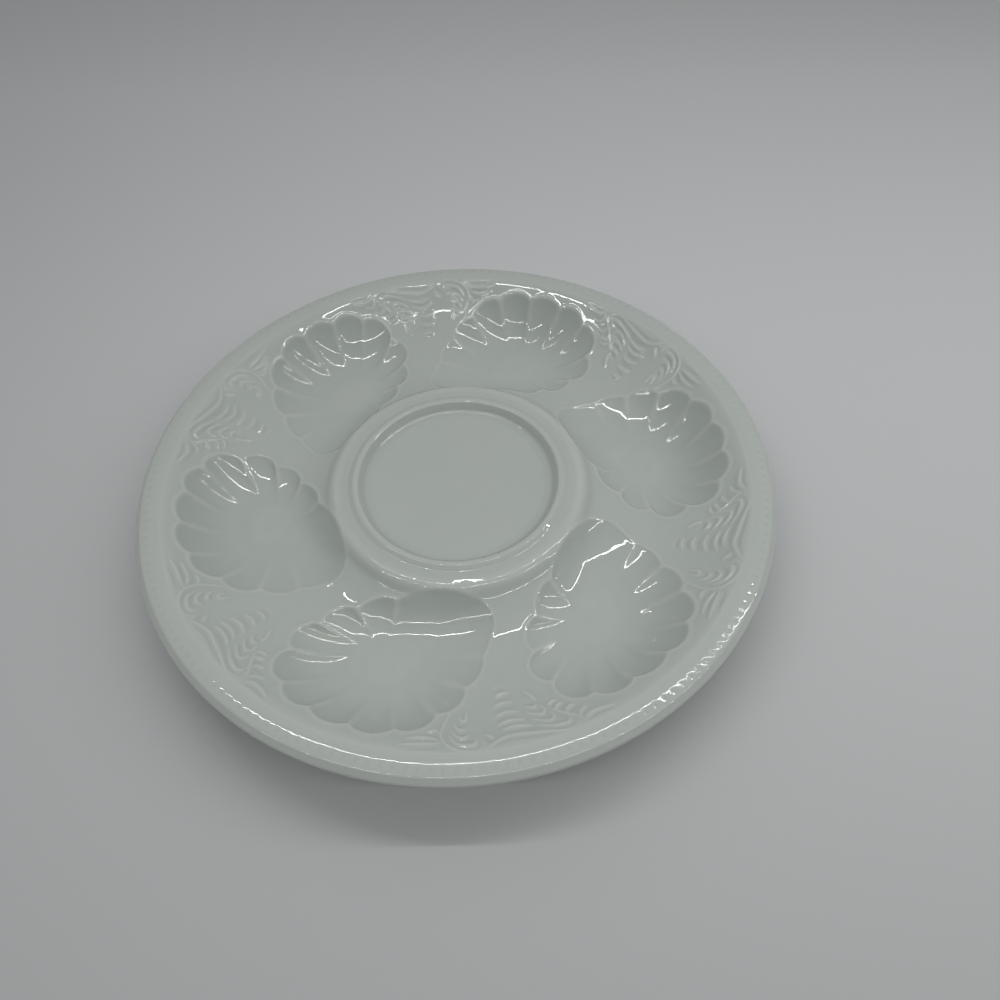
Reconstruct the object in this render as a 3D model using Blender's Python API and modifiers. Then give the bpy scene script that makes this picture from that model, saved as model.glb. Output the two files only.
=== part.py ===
"""Oyster platter: a round glazed plate with six scallop wells round a centre well, sprigs of seaweed
between the wells, a beaded rim and a turned foot."""
import math

import bmesh
import bpy
from mathutils import Matrix, Vector

# Driving dimensions, in metres
SEAM = 0.0003              # clearance between neighbouring formed pieces
WELL_COUNT = 6

RIM_RADIUS = 0.1357        # widest circle of the platter
RIM_WIDTH = 0.0127         # from the field's edge to the widest circle
RIM_CREST_RISE = 0.0020    # bead row above the field's outer edge
RIM_DROP = 0.0005          # widest circle below the field's outer edge
RIM_SKIRT = 0.0050         # height of the rounded outer wall below the widest circle
BEAD_INSET = 0.0061        # bead row in from the widest circle

RING_RADIUS = 0.0535       # outer edge of the centre well's ring
RING_WIDTH = 0.0081        # from that edge in to the ring's crest
RING_CREST_RISE = 0.0020   # crest above the ring's outer edge
CENTER_DEPTH = 0.0058      # centre floor below the crest

FOOT_LIFT = 0.0030         # underside of the wells above the table
WELL_WALL = 0.0045         # wall under the shells and the centre
WELL_DEPTH = 0.0045        # shell floor below the lowest part of the field
FIELD_THICKNESS = 0.0050
VALLEY_RADIUS = 0.0780     # lowest circle of the dished field
FIELD_RISE = 0.0175        # field's outer edge above the valley
RING_RISE = 0.0080         # ring's outer edge above the valley

FOOT_RADIUS = 0.0780       # middle of the foot ring
FOOT_TOP_WIDTH = 0.0070
FOOT_BASE_WIDTH = 0.0040

SHELL_WIDTH = 0.0765       # across the shell, square to the platter's radius
SHELL_INNER_MARGIN = 0.0008  # ring's edge to the line from which the shell's length is taken
SHELL_OUTER_MARGIN = 0.0030  # outermost lobe to the field's edge
SHELL_LIP = 0.0008         # width of the raised edge outside its crest
SHELL_LIP_RISE = 0.0006

LEAF_RADIUS = 0.0008       # half thickness of a seaweed leaf

# Corners of the shell's outline, from the hinge round the lobes and back: how far across (in shell widths from
# the platter's radius), how far out (in shell lengths from the hinge), the bulge of the edge that starts there
# (arc height over chord) and the steps in that edge
SHELL_OUTLINE = (
    (-0.080, 0.133, 0.164, 3),
    (-0.275, 0.239, 0.248, 3),
    (-0.429, 0.393, 0.353, 3),
    (-0.489, 0.606, 0.331, 3),
    (-0.421, 0.831, 0.230, 3),
    (-0.243, 0.933, 0.176, 3),
    (-0.029, 0.966, 0.204, 3),
    (0.179, 0.922, 0.238, 3),
    (0.333, 0.761, 0.222, 3),
    (0.414, 0.552, 0.142, 3),
    (0.448, 0.324, 0.020, 2),
    (0.456, 0.169, 0.238, 4),
    (0.305, 0.003, 0.078, 4),
)
SHELL_MIDDLE = (-0.06, 0.45)   # deepest point, in the same shares
SHELL_REACH = 0.995            # share of the shell's length that the outermost lobe takes

# Shares of the way from the shell's middle to its edge, for the rings of its two faces
BOWL_SHARES = (0.30, 0.55, 0.75, 0.90)
UNDERSIDE_SHARES = (0.85, 0.60, 0.30)
BOWL_POWER = 2.6
UNDERSIDE_POWER = 3.5
CENTER_POWER = 5.0

# Cross leaves of one sprig: share of the gap between two shells, share of the field's width, half width in
# shares of the gap, and how far the leaf's middle lies outward of its ends, in shares of the field's width.
# The first three lie end to end along the rim and carry the rest
LEAVES = (
    (0.52, 0.945, 0.170, -0.014),
    (0.22, 0.955, 0.170, -0.004),
    (0.77, 0.955, 0.120, -0.004),
    (0.20, 0.800, 0.070, 0.024),
    (0.20, 0.870, 0.085, 0.030),
    (0.44, 0.730, 0.090, -0.012),
    (0.45, 0.795, 0.105, -0.014),
    (0.46, 0.860, 0.120, -0.016),
    (0.69, 0.800, 0.070, 0.020),
    (0.71, 0.865, 0.080, 0.024),
)
# Stems of one sprig: share of the gap and share of the field's width, at the root and at the tip
STEMS = (
    (0.20, 0.965, 0.20, 0.755),
    (0.47, 0.965, 0.43, 0.680),
    (0.74, 0.970, 0.67, 0.755),
)
LEAF_POINTS = 4
STEM_POINTS = 3
TIP_TAPER = 0.5                # leaf thickness at its tips, as a share of the middle's
GAP_REACH = 0.97               # the gap's sides run straight out from this share of the shell's reach

TURN_STEPS = 60
FIELD_RINGS = 10
FLOOR_RINGS = 5

# Heights above the table, stacked from the foot upward
WELL_FLOOR = FOOT_LIFT + WELL_WALL
VALLEY_HEIGHT = WELL_FLOOR + WELL_DEPTH
FIELD_EDGE_HEIGHT = VALLEY_HEIGHT + FIELD_RISE
RING_EDGE_HEIGHT = VALLEY_HEIGHT + RING_RISE
RING_CREST_HEIGHT = RING_EDGE_HEIGHT + RING_CREST_RISE
CENTER_FLOOR = RING_CREST_HEIGHT - CENTER_DEPTH
RIM_WIDEST_HEIGHT = FIELD_EDGE_HEIGHT - RIM_DROP
RIM_CREST_HEIGHT = FIELD_EDGE_HEIGHT + RIM_CREST_RISE

# Radii that follow
RIM_INNER_RADIUS = RIM_RADIUS - RIM_WIDTH
RING_CREST_RADIUS = RING_RADIUS - RING_WIDTH
FIELD_INNER_RADIUS = RING_RADIUS + SEAM
FIELD_OUTER_RADIUS = RIM_INNER_RADIUS - SEAM
SHELL_HINGE_RADIUS = RING_RADIUS + SHELL_INNER_MARGIN
SHELL_LENGTH = (RIM_INNER_RADIUS - SHELL_OUTER_MARGIN - SHELL_HINGE_RADIUS) / SHELL_REACH
PITCH = 2 * math.pi / WELL_COUNT


def field_height(radius):
    """Height of the dished field: two parabolas that meet in the valley."""
    edge_radius, edge_height = RIM_INNER_RADIUS, FIELD_EDGE_HEIGHT
    if radius < VALLEY_RADIUS:
        edge_radius, edge_height = RING_RADIUS, RING_EDGE_HEIGHT
    share = (radius - VALLEY_RADIUS) / (edge_radius - VALLEY_RADIUS)
    return VALLEY_HEIGHT + (edge_height - VALLEY_HEIGHT) * share ** 2


def spread(start, end, count):
    """Evenly spaced values from start to end."""
    return [start + (end - start) * i / (count - 1) for i in range(count)]


def clear_scene():
    """Remove whatever the file holds."""
    for obj in list(bpy.data.objects):
        bpy.data.objects.remove(obj, do_unlink=True)


def new_collection(name):
    """A collection linked to the scene."""
    collection = bpy.data.collections.new(name)
    bpy.context.scene.collection.children.link(collection)
    return collection


def finish_material(name, color, roughness):
    """A plain Principled material."""
    material = bpy.data.materials.new(name)
    material.use_nodes = True
    shader = material.node_tree.nodes["Principled BSDF"]
    shader.inputs["Base Color"].default_value = (*color, 1.0)
    shader.inputs["Roughness"].default_value = roughness
    shader.inputs["Metallic"].default_value = 0.0
    return material


def add_object(name, mesh, collection, material=None):
    """An object for a mesh, in a collection, with its material."""
    obj = bpy.data.objects.new(name, mesh)
    collection.objects.link(obj)
    if material:
        obj.data.materials.clear()
        obj.data.materials.append(material)
    return obj


def as_guide(obj):
    """Mark an object that only cuts or joins."""
    obj.hide_render = True
    obj.display_type = "WIRE"
    return obj


def turned(name, profile, is_ring, collection, material):
    """A turned solid: a profile of (radius, height) that runs outward on top and down its outer side."""
    mesh = bpy.data.meshes.new(name)
    count = len(profile)
    edges = [(i, i + 1) for i in range(count - 1)]
    if is_ring:
        edges.append((count - 1, 0))
    mesh.from_pydata([(radius, 0.0, height) for radius, height in profile], edges, [])
    obj = add_object(name, mesh, collection, material)
    turn = obj.modifiers.new("Turn", "SCREW")
    turn.axis = "Z"
    turn.angle = 2 * math.pi
    turn.steps = TURN_STEPS
    turn.render_steps = TURN_STEPS
    turn.use_merge_vertices = True
    turn.merge_threshold = 0.00001
    turn.use_smooth_shade = True
    return obj


def lofted_mesh(name, start, rings, end):
    """A closed loft from a start point through rings of equal length to an end point."""
    shape = bmesh.new()
    first = shape.verts.new(start)
    last = shape.verts.new(end)
    loops = [[shape.verts.new(point) for point in ring] for ring in rings]
    count = len(rings[0])
    for i in range(count):
        j = (i + 1) % count
        shape.faces.new((first, loops[0][j], loops[0][i]))
        for near, far in zip(loops, loops[1:]):
            shape.faces.new((near[i], near[j], far[j], far[i]))
        shape.faces.new((last, loops[-1][i], loops[-1][j]))
    bmesh.ops.recalc_face_normals(shape, faces=shape.faces)
    mesh = bpy.data.meshes.new(name)
    shape.to_mesh(mesh)
    shape.free()
    mesh.shade_smooth()
    mesh.set_sharp_from_angle(angle=math.radians(40))
    return mesh


def arc_points(start, end, bulge, steps):
    """Points of an arc that bulges outward from an edge, without its end."""
    chord = end - start
    half_sweep = 2 * math.atan(2 * bulge)
    radius = chord.length / 2 / math.sin(half_sweep)
    along = chord.normalized()
    outward = Vector((along.y, -along.x))
    middle = (start + end) / 2
    points = []
    for step in range(steps):
        angle = half_sweep * (2 * step / steps - 1)
        rise = radius * (math.cos(angle) - math.cos(half_sweep))
        points.append(middle + along * radius * math.sin(angle) + outward * rise)
    return points


def shell_point(across, out):
    """A point of the shell that lies on the -Y side, from its shares across and out."""
    return Vector((across * SHELL_WIDTH, -(SHELL_HINGE_RADIUS + out * SHELL_LENGTH)))


def shell_outline():
    """The shell's edge as a closed run of points, counter-clockwise from above."""
    points = []
    corners = list(SHELL_OUTLINE)
    for corner, following in zip(corners, corners[1:] + corners[:1]):
        across, out, bulge, steps = corner
        points += arc_points(shell_point(across, out), shell_point(*following[:2]), bulge, steps)
    return points


def grown(outline, margin):
    """The outline moved outward, along the mean of the two edge normals at each point."""
    moved = []
    count = len(outline)
    for i, point in enumerate(outline):
        before = (point - outline[i - 1]).normalized()
        after = (outline[(i + 1) % count] - point).normalized()
        along = (before + after).normalized()
        moved.append(point + Vector((along.y, -along.x)) * margin)
    return moved


def scaled_ring(edge, middle, share, height_at_edge, height_at_middle, power):
    """A ring of a bowl, at a share of the way from its middle to its edge."""
    ring = []
    for point, top in zip(edge, height_at_edge):
        place = middle.lerp(point, share)
        height = height_at_middle + (top - height_at_middle) * share ** power
        ring.append((place.x, place.y, height))
    return ring


def raised(edge, heights):
    """The outline's points at given heights."""
    return [(point.x, point.y, height) for point, height in zip(edge, heights)]


def shell_mesh(outline):
    """One scallop well: a lipped bowl with flutes that run in from the cusps of its edge."""
    middle = shell_point(*SHELL_MIDDLE)
    seam = grown(outline, SHELL_LIP)
    crest_heights = [field_height(point.length) + SHELL_LIP_RISE for point in outline]
    seam_tops = [field_height(point.length) for point in seam]
    seam_feet = [height - FIELD_THICKNESS for height in seam_tops]
    rings = [scaled_ring(outline, middle, share, crest_heights, WELL_FLOOR, BOWL_POWER) for share in BOWL_SHARES]
    rings += [raised(outline, crest_heights), raised(seam, seam_tops), raised(seam, seam_feet)]
    for share in UNDERSIDE_SHARES:
        rings.append(scaled_ring(seam, middle, share, seam_feet, FOOT_LIFT, UNDERSIDE_POWER))
    return lofted_mesh("shell_well", (*middle, WELL_FLOOR), rings, (*middle, FOOT_LIFT))


def shell_cutter_mesh(outline):
    """The room that one scallop well takes out of the field and the foot, with the seam's clearance."""
    middle = shell_point(*SHELL_MIDDLE)
    edge = grown(outline, SHELL_LIP + SEAM)
    bottom = FOOT_LIFT - SEAM
    feet = [field_height(point.length) - FIELD_THICKNESS - SEAM for point in edge]
    top = RIM_CREST_HEIGHT + FIELD_THICKNESS
    rings = [raised(edge, [top] * len(edge)), raised(edge, feet)]
    for share in UNDERSIDE_SHARES:
        rings.append(scaled_ring(edge, middle, share, feet, bottom, UNDERSIDE_POWER))
    return lofted_mesh("shell_cutter", (*middle, top), rings, (*middle, bottom))


def make_field(collection, material):
    """The dished field round the wells, before they are cut out of it."""
    radii = spread(FIELD_INNER_RADIUS, FIELD_OUTER_RADIUS, FIELD_RINGS)
    top = [(radius, field_height(radius)) for radius in radii]
    bottom = [(radius, height - FIELD_THICKNESS) for radius, height in reversed(top)]
    return turned("field", top + bottom, True, collection, material)


def make_rim(collection, material):
    """The rolled rim, with the low band that carries its row of beads."""
    bead_radius = RIM_RADIUS - BEAD_INSET
    roll_radius = RIM_INNER_RADIUS + 0.3 * (bead_radius - RIM_INNER_RADIUS)
    edge_radius = bead_radius + 0.7 * BEAD_INSET
    skirt_foot = RIM_WIDEST_HEIGHT - RIM_SKIRT
    profile = [
        (RIM_INNER_RADIUS, FIELD_EDGE_HEIGHT),
        (roll_radius, FIELD_EDGE_HEIGHT + 0.75 * RIM_CREST_RISE),
        (bead_radius, RIM_CREST_HEIGHT),
        (edge_radius, FIELD_EDGE_HEIGHT + 0.6 * RIM_CREST_RISE),
        (RIM_RADIUS, RIM_WIDEST_HEIGHT),
        (RIM_RADIUS - 0.1 * BEAD_INSET, RIM_WIDEST_HEIGHT - 0.4 * RIM_SKIRT),
        (edge_radius - 0.4 * BEAD_INSET, RIM_WIDEST_HEIGHT - 0.8 * RIM_SKIRT),
        (RIM_INNER_RADIUS, skirt_foot),
    ]
    return turned("beaded_rim", profile, True, collection, material)


def make_center_well(collection, material):
    """The round centre well with its raised ring."""
    floor_radii = spread(0.0, RING_CREST_RADIUS, FLOOR_RINGS + 1)
    profile = []
    for radius in floor_radii:
        share = radius / RING_CREST_RADIUS
        profile.append((radius, CENTER_FLOOR + CENTER_DEPTH * share ** CENTER_POWER))
    seat = field_height(RING_RADIUS) - FIELD_THICKNESS
    profile += [
        (RING_CREST_RADIUS + 0.2 * RING_WIDTH, RING_CREST_HEIGHT - 0.1 * RING_CREST_RISE),
        (RING_RADIUS - 0.15 * RING_WIDTH, RING_EDGE_HEIGHT + 0.25 * RING_CREST_RISE),
        (RING_RADIUS, RING_EDGE_HEIGHT),
        (RING_RADIUS, seat),
        (RING_CREST_RADIUS, CENTER_FLOOR - 0.5 * WELL_WALL),
        (0.7 * RING_CREST_RADIUS, CENTER_FLOOR - WELL_WALL),
        (0.0, CENTER_FLOOR - WELL_WALL),
    ]
    return turned("center_well", profile, False, collection, material)


def make_foot(collection, material):
    """The foot ring, whose top follows the underside of the field."""
    radii = spread(FOOT_RADIUS - FOOT_TOP_WIDTH / 2, FOOT_RADIUS + FOOT_TOP_WIDTH / 2, 3)
    profile = [(radius, field_height(radius) - FIELD_THICKNESS - SEAM) for radius in radii]
    profile.append((FOOT_RADIUS + FOOT_BASE_WIDTH / 2, 0.0))
    profile.append((FOOT_RADIUS - FOOT_BASE_WIDTH / 2, 0.0))
    return turned("foot_ring", profile, True, collection, material)


def gap_angle(outline, share, radius):
    """Angle from the -Y axis of a share of the gap between a shell there and the next one."""
    reach = GAP_REACH * max(point.length for point in outline)
    radius = min(radius, reach)
    crossings = []
    for near, far in zip(outline, outline[1:] + outline[:1]):
        if (near.length - radius) * (far.length - radius) <= 0:
            place = near.lerp(far, (radius - near.length) / (far.length - near.length))
            crossings.append(math.atan2(place.x, -place.y))
    return max(crossings) + share * (PITCH + min(crossings) - max(crossings))


def sprig_point(outline, share, out, lift):
    """A point over the field in the gap, at a share of its width out and a lift off the field."""
    radius = FIELD_INNER_RADIUS + out * (FIELD_OUTER_RADIUS - FIELD_INNER_RADIUS)
    angle = gap_angle(outline, share, radius)
    return Vector((radius * math.sin(angle), -radius * math.cos(angle), field_height(radius) + lift))


def tube_object(outline, spots, collection):
    """A tapered bar that lies on the field along spots given as (share of the gap, share out)."""
    curve = bpy.data.curves.new("leaf", "CURVE")
    curve.dimensions = "3D"
    curve.bevel_depth = LEAF_RADIUS
    curve.bevel_resolution = 0
    curve.use_fill_caps = True
    spline = curve.splines.new("POLY")
    spline.points.add(len(spots) - 1)
    for point, spot, place in zip(spline.points, spots, spread(-1.0, 1.0, len(spots))):
        point.co = (*sprig_point(outline, *spot, SEAM + LEAF_RADIUS), 1.0)
        point.radius = 1.0 - (1.0 - TIP_TAPER) * place ** 2
    drawn = add_object("leaf_curve", curve, collection)
    bpy.context.view_layer.update()
    mesh = bpy.data.meshes.new_from_object(drawn.evaluated_get(bpy.context.evaluated_depsgraph_get()))
    bpy.data.objects.remove(drawn)
    shape = bmesh.new()
    shape.from_mesh(mesh)
    bmesh.ops.remove_doubles(shape, verts=shape.verts, dist=0.00001)
    bmesh.ops.triangulate(shape, faces=shape.faces)
    bmesh.ops.recalc_face_normals(shape, faces=shape.faces)
    shape.to_mesh(mesh)
    shape.free()
    return add_object("leaf", mesh, collection)


def leaf_spots(leaf):
    """The spots of a cross leaf, from one tip to the other."""
    share, out, half_width, sag = leaf
    return [(share + half_width * place, out - sag * place ** 2) for place in spread(-1.0, 1.0, LEAF_POINTS)]


def stem_spots(stem):
    """The spots of a stem, from its root to its tip."""
    root_share, root_out, tip_share, tip_out = stem
    return list(zip(spread(root_share, tip_share, STEM_POINTS), spread(root_out, tip_out, STEM_POINTS)))


def sprig_mesh(outline, collection):
    """One sprig of seaweed: leaves and stems joined in one low relief."""
    runs = [leaf_spots(leaf) for leaf in LEAVES] + [stem_spots(stem) for stem in STEMS]
    sprig, *others = [tube_object(outline, spots, collection) for spots in runs]
    for other in others:
        join = sprig.modifiers.new("Leaf", "BOOLEAN")
        join.operation = "UNION"
        join.solver = "EXACT"
        join.object = other
    bpy.context.view_layer.update()
    mesh = bpy.data.meshes.new_from_object(sprig.evaluated_get(bpy.context.evaluated_depsgraph_get()))
    for obj in [sprig] + others:
        bpy.data.objects.remove(obj)
    return mesh


def cut(obj, cutters):
    """Cut the cutters out of an object."""
    for cutter in cutters:
        modifier = obj.modifiers.new("Well", "BOOLEAN")
        modifier.operation = "DIFFERENCE"
        modifier.solver = "EXACT"
        modifier.object = cutter


def repeated(name, mesh, collection, material=None):
    """One object for each well or gap, turned round the platter's axis."""
    objects = []
    for i in range(WELL_COUNT):
        obj = add_object(f"{name}_{i + 1}", mesh, collection, material)
        obj.matrix_world = Matrix.Rotation(i * PITCH, 4, "Z")
        objects.append(obj)
    return objects


def build():
    """Model the platter."""
    clear_scene()
    parts = new_collection("oyster_platter")
    guides = new_collection("cutters")
    white = (0.79, 0.81, 0.78)
    outline = shell_outline()
    cutters = [as_guide(obj) for obj in repeated("shell_cutter", shell_cutter_mesh(outline), guides)]
    pieces = [
        make_field(parts, finish_material("field_glaze", white, 0.12)),
        make_rim(parts, finish_material("rim_glaze", white, 0.12)),
        make_center_well(parts, finish_material("center_glaze", white, 0.10)),
        make_foot(parts, finish_material("foot_clay", (0.70, 0.66, 0.58), 0.75)),
    ]
    cut(pieces[0], cutters)
    cut(pieces[3], cutters)
    pieces += repeated("shell_well", shell_mesh(outline), parts, finish_material("shell_glaze", white, 0.10))
    sprig = sprig_mesh(outline, guides)
    pieces += repeated("seaweed_sprig", sprig, parts, finish_material("sprig_glaze", white, 0.14))
    platter = bpy.data.objects.new("platter_origin", None)
    parts.objects.link(platter)
    for piece in pieces:
        piece.parent = platter


build()
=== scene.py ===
"""Looks of the oyster platter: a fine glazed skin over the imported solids, cut into pieces."""
import math

import bpy
import numpy as np
from mathutils import Matrix, Vector
from mathutils.geometry import delaunay_2d_cdt
from mathutils.kdtree import KDTree


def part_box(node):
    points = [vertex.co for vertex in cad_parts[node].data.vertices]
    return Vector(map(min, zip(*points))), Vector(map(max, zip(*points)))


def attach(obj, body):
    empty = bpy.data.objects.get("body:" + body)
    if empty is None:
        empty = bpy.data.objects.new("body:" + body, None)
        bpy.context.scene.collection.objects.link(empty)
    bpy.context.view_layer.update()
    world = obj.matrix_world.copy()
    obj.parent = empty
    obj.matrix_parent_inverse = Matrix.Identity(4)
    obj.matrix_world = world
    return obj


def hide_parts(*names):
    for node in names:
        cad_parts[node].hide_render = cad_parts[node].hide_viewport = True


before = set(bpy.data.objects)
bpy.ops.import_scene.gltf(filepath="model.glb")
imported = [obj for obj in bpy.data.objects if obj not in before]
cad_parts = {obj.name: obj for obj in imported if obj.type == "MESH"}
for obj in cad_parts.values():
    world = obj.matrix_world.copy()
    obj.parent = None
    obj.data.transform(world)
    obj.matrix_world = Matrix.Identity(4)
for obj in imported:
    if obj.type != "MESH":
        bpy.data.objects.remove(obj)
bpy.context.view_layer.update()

# Sizes read from the frame, in metres
RIM_LOW, RIM_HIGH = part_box("beaded_rim")
FIELD_LOW, FIELD_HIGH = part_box("field")
CENTER_LOW, CENTER_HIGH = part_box("center_well")
SHELL_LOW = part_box("shell_well_1")[0]
FOOT_LOW, FOOT_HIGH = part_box("foot_ring")
WELL_COUNT = sum(name.startswith("shell_well_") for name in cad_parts)
PITCH = 2 * math.pi / WELL_COUNT
FIRST_ANGLE = -math.pi / 2         # direction of the first shell, on -Y

# The dish
THICKNESS = 0.0050
VALLEY_RADIUS = 0.0780
VALLEY_HEIGHT = FIELD_LOW.z + THICKNESS
RING_RADIUS = CENTER_HIGH.x
RING_RISE = 0.0080                 # field's inner edge above the valley
CENTER_BORDER = RING_RADIUS + 0.0007   # where the field meets the centre
RIM_BORDER = FIELD_HIGH.x + 0.0023     # and the rim
BAND_RADIUS = 0.1243               # where the field turns into the rim's flat band
BAND_HEIGHT = 0.0305
BAND_SLOPE = 0.27
BAND_REACH = 0.010
BAND_ROUNDING = 0.0016

# The centre well, whose floor rises a little toward its edge
CENTER_THICKNESS = 0.0045
CENTER_FLOOR_RADII = (0.0008, 0.0385)
CENTER_FLOOR_RINGS = 14
CENTER_FLOOR_ROUNDING = 0.003
CENTER_HOLLOW = 0.0014             # rise of the floor at the radius below
CENTER_HOLLOW_RADIUS = 0.040
CENTER_HOLLOW_POWER = 2.4

# The ring round the centre
RING_CREST = 0.0220
RING_BAND = 0.0209                 # height of the band outside the crest
RING_SHOULDER = 0.00028            # how far the band stands above its outer border
RING_EDGE = 0.0205                 # height of the outer edge
RING_EDGE_RADIUS = 0.0560
RING_EDGE_SLOPE = 1.3
RING_EDGE_ROUNDING = 0.0030
RING_FOOT_ROUNDING = 0.0014

# The shell wells. A corner of the outline: shares across and out, and bulge of the edge after it
SHELL_WIDTH = 0.0765
SHELL_HINGE = 0.0537
SHELL_LENGTH = 0.0667
SHELL_OUTLINE = (
    (-0.080, 0.133, 0.164),
    (-0.275, 0.239, 0.248),
    (-0.429, 0.393, 0.353),
    (-0.489, 0.606, 0.331),
    (-0.421, 0.831, 0.230),
    (-0.243, 0.933, 0.176),
    (-0.029, 0.966, 0.204),
    (0.179, 0.922, 0.238),
    (0.333, 0.761, 0.222),
    (0.414, 0.552, 0.142),
    (0.448, 0.324, 0.020),
    (0.456, 0.169, 0.238),
    (0.305, 0.003, 0.078),
)
RIB_COUNT = 11                     # the first corners are the cusps from which ribs run in
SHELL_MIDDLE = np.array((-0.0050, -0.0835))
WELL_FLOOR = 0.0076
WELL_UNDERSIDE = SHELL_LOW.z
BOWL_FLOOR = 0.32                  # share of the way out at which the floor turns up into the wall
BOWL_POWER = 2.4                   # of the wall's climb
BOWL_HOLLOW = 0.03                 # share of the depth that lies in the floor's slight hollow
FLUTE_GAIN = 0.4                   # how much deeper the flutes run down the wall than at the edge
FLUTE_START = (0.22, 0.46)         # shares of the way out between which the flutes set in
FLUTE_SHARP = (0.75, 0.99)         # and between which they turn sharp
UNDERSIDE_POWER = 3.5
UNDERSIDE_TURN = (0.6, 1.0)        # shares of the way out between which it takes the edge's form
UNDERSIDE_SHARES = (0.96, 0.90, 0.80, 0.68, 0.52, 0.34, 0.16)   # of the way out, for its rings
EDGE_ROUNDING = 0.0011
LIP_RISE = 0.00034
LIP_WIDTH = 0.00110
RIB_RISE = 0.00012
RIB_WIDTH = 0.00150
RIB_RUN = (0.50, 0.95)             # shares of the way to the cusp over which a rib rises
SEAM_GROWTH = 0.0010               # the shell's piece ends this far outside its edge

# The rim: a low arch with a row of beads on its outer slope
ARCH_RADIUS = 0.1295               # the rim's crest
ARCH_ROUNDING = 0.0165
ARCH_OVERHANG = 0.0015             # how far the arch runs on outside the row of beads
ARCH_STEPS = 20
BEAD_COUNT = 192
BEAD_CIRCLE = 0.1309
NOTCH_DEPTH = 0.00014              # between two beads
NOTCH_WIDTH = 0.00085
NOTCH_REACH = 0.00100
RIM_WAVES = (                      # count round the rim, phase, height
    (37, 0.4, 0.000010),
    (61, 1.7, 0.000008),
    (83, 2.9, 0.000006),
)
RELIEF_DEPTH = 0.0020              # beads and waves lie no deeper than this under the top

# The seaweed: ridges and grooves of one sprig in a gap on -Y, each as the points it runs through
LEAF_RISE = 0.00050
LEAF_HALF_WIDTH = 0.00115
LEAF_TIP = 0.45                    # share of the width that is left at the tips
GROOVE_DEPTH = 0.00035
GROOVE_HALF_WIDTH = 0.00105
GROOVE_TIP = 0.25
STROKE_STEPS = 6                   # steps of a stroke's curve in its half width
TAPER_POWER = 0.6
SEAWEED_END = (0.0016, 0.0002)     # distances inside the rim over which the relief runs out
LEAF_RIDGES = (
    ((-0.0082, -0.1008), (-0.0056, -0.1002), (-0.0030, -0.1008)),
    ((-0.0094, -0.1052), (-0.0060, -0.1044), (-0.0026, -0.1052)),
    ((-0.0100, -0.1098), (-0.0058, -0.1088), (-0.0016, -0.1099)),
    ((-0.0104, -0.1140), (-0.0054, -0.1128), (-0.0004, -0.1142)),
    ((-0.0090, -0.1166), (-0.0046, -0.1158), (0.0012, -0.1174)),
    ((-0.0148, -0.1224), (-0.0116, -0.1206), (-0.0072, -0.1195),
     (-0.0010, -0.1204), (0.0060, -0.1218), (0.0126, -0.1234)),
    ((-0.0153, -0.1164), (-0.0138, -0.1179), (-0.0125, -0.1192)),
    ((-0.0198, -0.1054), (-0.0206, -0.1084), (-0.0222, -0.1084), (-0.0226, -0.1060)),
    ((-0.0250, -0.1090), (-0.0240, -0.1117), (-0.0220, -0.1128)),
    ((-0.0264, -0.1120), (-0.0250, -0.1150), (-0.0228, -0.1163), (-0.0208, -0.1154)),
    ((-0.0276, -0.1140), (-0.0258, -0.1176), (-0.0228, -0.1196),
     (-0.0196, -0.1198), (-0.0186, -0.1176)),
    ((-0.0256, -0.1042), (-0.0286, -0.1088), (-0.0302, -0.1132), (-0.0292, -0.1174),
     (-0.0260, -0.1206), (-0.0220, -0.1226), (-0.0184, -0.1236)),
    ((-0.0346, -0.1105), (-0.0322, -0.1102), (-0.0306, -0.1120)),
    ((-0.0426, -0.1114), (-0.0380, -0.1120), (-0.0336, -0.1137), (-0.0307, -0.1158)),
    ((-0.0450, -0.1138), (-0.0395, -0.1146), (-0.0345, -0.1157), (-0.0305, -0.1167)),
    ((0.0022, -0.1014), (0.0044, -0.1040), (0.0056, -0.1070)),
    ((0.0012, -0.1084), (0.0036, -0.1097), (0.0058, -0.1090)),
    ((0.0012, -0.1114), (0.0040, -0.1130), (0.0064, -0.1135), (0.0076, -0.1117), (0.0066, -0.1094)),
    ((0.0024, -0.1147), (0.0060, -0.1169), (0.0088, -0.1172), (0.0099, -0.1152), (0.0086, -0.1134)),
    ((0.0030, -0.1180), (0.0086, -0.1199), (0.0130, -0.1204), (0.0146, -0.1190), (0.0141, -0.1170)),
    ((0.0088, -0.1108), (0.0106, -0.1094), (0.0126, -0.1090)),
    ((0.0118, -0.1140), (0.0116, -0.1122), (0.0128, -0.1111), (0.0144, -0.1108)),
    ((0.0150, -0.1160), (0.0150, -0.1146), (0.0162, -0.1133), (0.0180, -0.1130)),
    ((0.0086, -0.1112), (0.0116, -0.1140), (0.0146, -0.1164), (0.0166, -0.1178), (0.0184, -0.1198)),
    ((0.0220, -0.1153), (0.0198, -0.1166), (0.0184, -0.1190)),
    ((0.0204, -0.1202), (0.0226, -0.1187), (0.0258, -0.1182), (0.0306, -0.1184)),
)
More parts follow.
